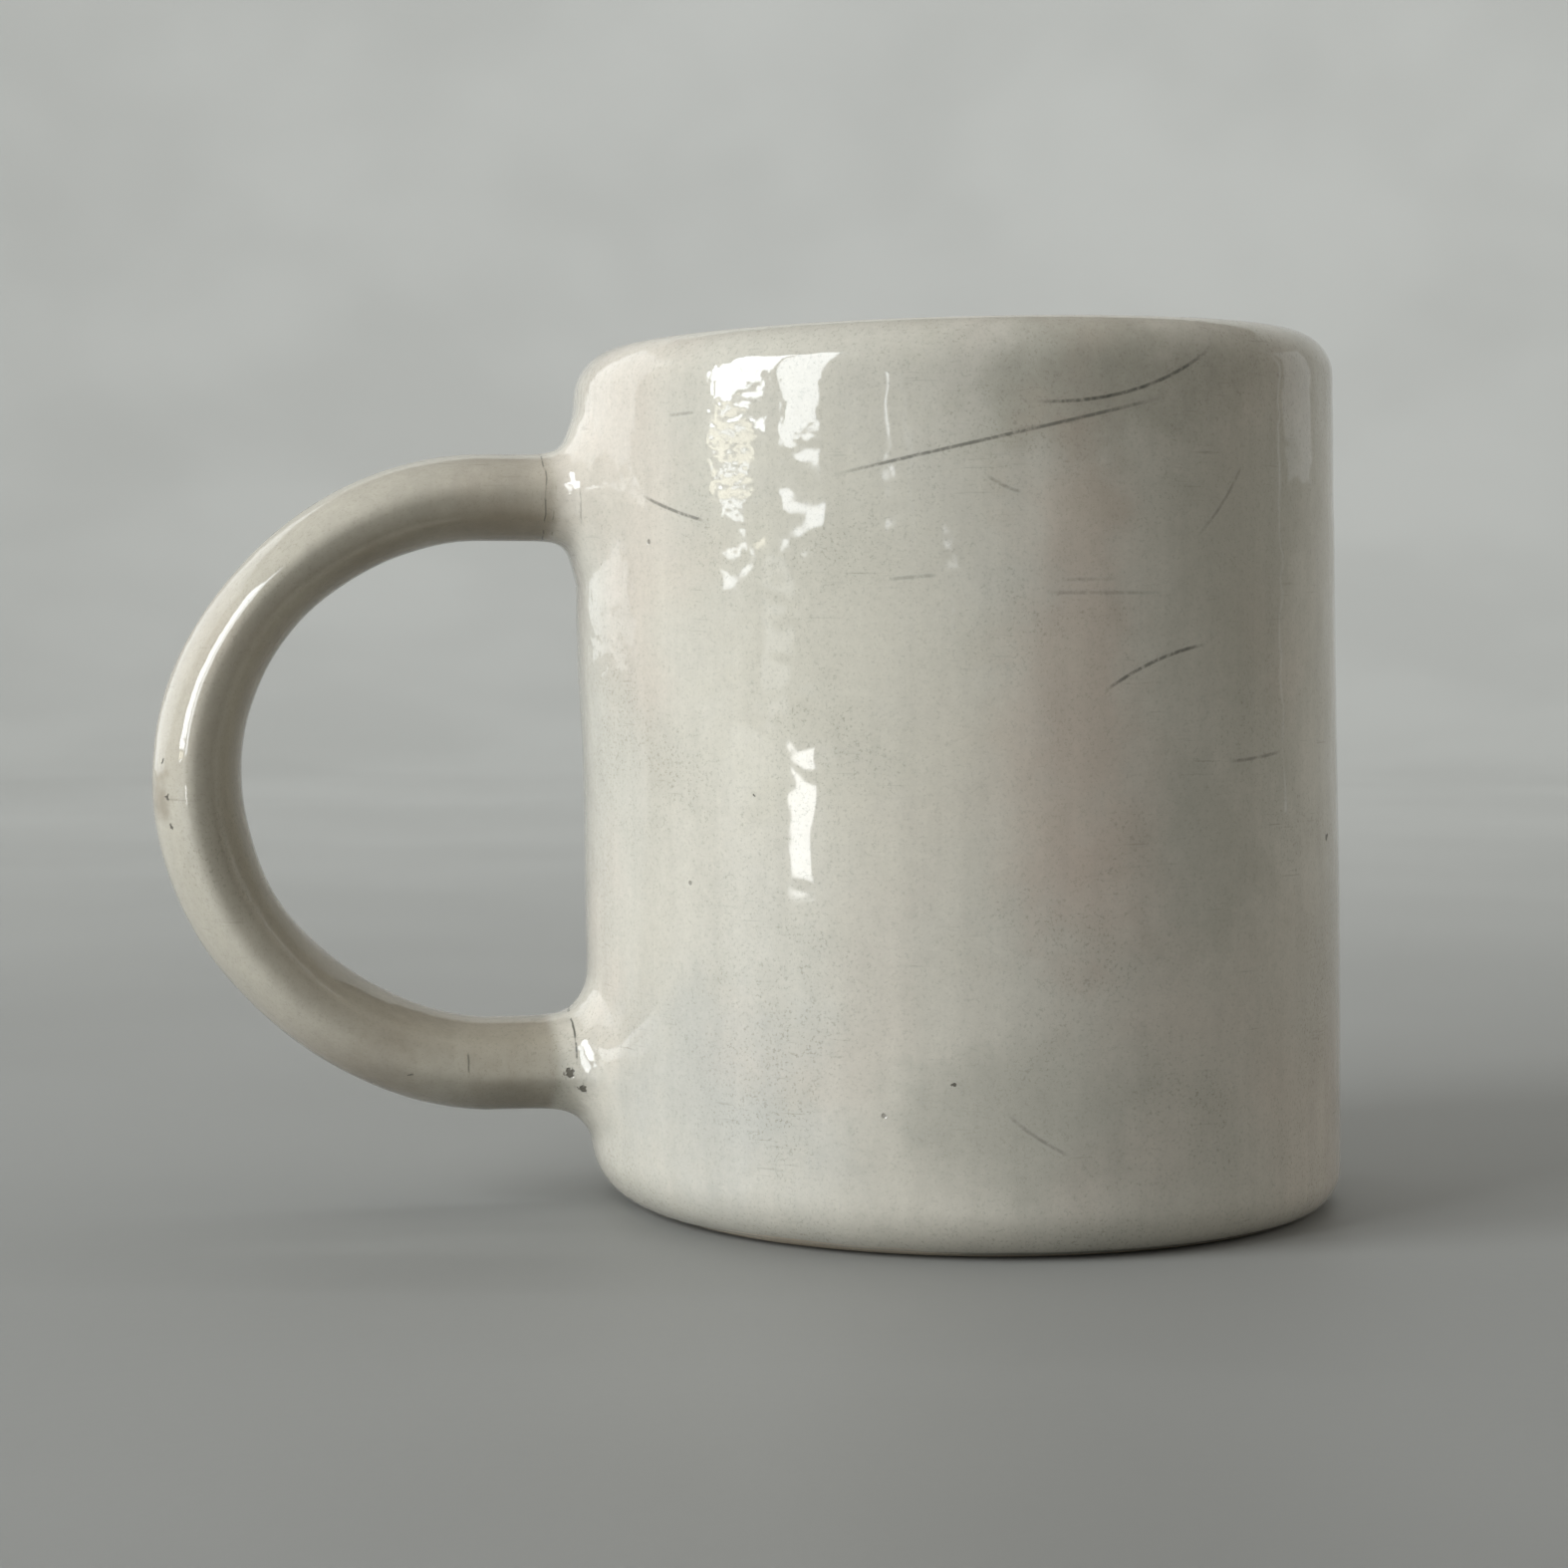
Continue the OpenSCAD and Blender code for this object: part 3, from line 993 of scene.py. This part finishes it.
# The studio's floor: radius, radius of its curve up into the wall, height of the wall, and
# points on each ring.
SWEEP_R = 1400
SWEEP_CURVE = 500
SWEEP_WALL = 1100
SWEEP_POINTS = 96


def around(distance, degrees, height):
    """Point at a distance from the mug's axis, in a direction counted from +X."""
    turn = math.radians(degrees)
    return Vector((distance * math.cos(turn), distance * math.sin(turn), height)) * MM


def sweep_mesh():
    """Round floor that curves up into a low wall on all sides."""
    profile = [((SWEEP_R - SWEEP_CURVE) * share, 0.0) for share in np.linspace(0.04, 1, 12)]
    for a in np.radians(np.linspace(6, 90, 15)):
        radius = SWEEP_R - SWEEP_CURVE * (1 - math.sin(a))
        profile.append((radius, SWEEP_CURVE * (1 - math.cos(a))))
    profile.append((SWEEP_R, SWEEP_WALL))
    # The turns run backwards, so that the faces look up and inwards.
    turns = -2 * math.pi * np.arange(SWEEP_POINTS) / SWEEP_POINTS
    points = [(r * math.cos(a), r * math.sin(a), z) for r, z in profile for a in turns]
    loops = ring_numbers(len(profile), SWEEP_POINTS)
    faces = bands(loops) + fan(loops[0][::-1], len(points))
    return np.array([*points, (0.0, 0.0, 0.0)]), faces


MUG_MIDDLE = Vector((0, 0, 50)) * MM


def area_light(name, at, size, power, color=(1.0, 1.0, 1.0), target=MUG_MIDDLE, mirrored=True):
    """Soft rectangular light turned to a target; mirrored says if the glaze shows it."""
    data = bpy.data.lights.new(name, "AREA")
    data.shape = "RECTANGLE"
    data.size = size[0] * MM
    data.size_y = size[1] * MM
    data.energy = power
    data.color = color
    light = bpy.data.objects.new(name, data)
    light.location = at
    light.rotation_euler = (target - at).to_track_quat("-Z", "Y").to_euler()
    light.visible_camera = False
    light.visible_glossy = mirrored
    bpy.context.scene.collection.objects.link(light)
    return light


floor = make_piece("studio_sweep", *sweep_mesh(), studio_material())

# Panes of the window: direction from and to in degrees, height from and to in millimetres,
# brightness and colour.
DAYLIGHT = (0.92, 0.96, 1.0)
PANES = [
    (-177, -156, 110, 720, 12.5, DAYLIGHT),
    (-175, -161, 82, 107, 6.0, (1.0, 0.94, 0.74)),
    (-173, -163, 56, 76, 8.0, DAYLIGHT),
    (-153, -140, 62, 720, 9.5, DAYLIGHT),
    (-160, -150, 22, 48, 1.5, DAYLIGHT),
    (-121.3, -120.5, 100, 150, 8.0, DAYLIGHT),
    (-115.5, -115.0, 70, 150, 1.5, DAYLIGHT),
    (-104.9, -104.3, 62, 76, 5.0, DAYLIGHT),
    (7.7, 8.3, 5, 500, 0.7, DAYLIGHT),
    (11, 29, 130, 420, 0.35, DAYLIGHT),
]
WINDOW_DISTANCE = 900
for number, (start, end, low, high, brightness, tone) in enumerate(PANES):
    at = around(WINDOW_DISTANCE, (start + end) / 2, (low + high) / 2)
    width = 2 * WINDOW_DISTANCE * math.tan(math.radians(end - start) / 2)
    area = width * (high - low) * MM**2
    area_light(f"pane_{number}", at, (width, high - low), brightness * math.pi * area, tone)

area_light("left_wall", around(900, 135, 330), (600, 640), 1.1, (0.93, 0.97, 1.0))
area_light("low_card", around(270, -146, 23), (27, 24), 0.02)
area_light("right_fill", around(900, -10, 450), (1200, 800), 3.7, (1.0, 0.98, 0.95), mirrored=False)
area_light("soft_top", around(300, 150, 1100), (900, 900), 0.6, mirrored=False)
backdrop = around(1400, 77, 700)
area_light(
    "backdrop_light",
    around(500, 77, 1200),
    (1200, 300),
    30.0,
    (0.94, 0.97, 1.0),
    target=backdrop,
    mirrored=False,
)

world = bpy.data.worlds.new("studio")
world.use_nodes = True
world.node_tree.nodes["Background"].inputs["Color"].default_value = (0.88, 0.84, 0.80, 1.0)
world.node_tree.nodes["Background"].inputs["Strength"].default_value = 0.2
bpy.context.scene.world = world

# The camera stands low in front of the mug, with the handle turned a little towards it.
CAMERA_DISTANCE = 352
CAMERA_HEIGHT = 63.6
CAMERA_TURN = -103
PITCH = 3.05
PAN = 3.22
LENS = 73.97

camera_data = bpy.data.cameras.new("camera")
camera_data.sensor_width = 36
camera_data.lens = LENS
camera_data.clip_start = 0.01
camera_data.clip_end = 20
camera = bpy.data.objects.new("camera", camera_data)
camera.location = around(CAMERA_DISTANCE, CAMERA_TURN, CAMERA_HEIGHT)
camera.rotation_euler = (math.radians(90 - PITCH), 0, math.radians(CAMERA_TURN + 90 + PAN))
bpy.context.scene.collection.objects.link(camera)
bpy.context.scene.camera = camera
bpy.context.scene.view_settings.view_transform = "Standard"

bpy.context.view_layer.update()
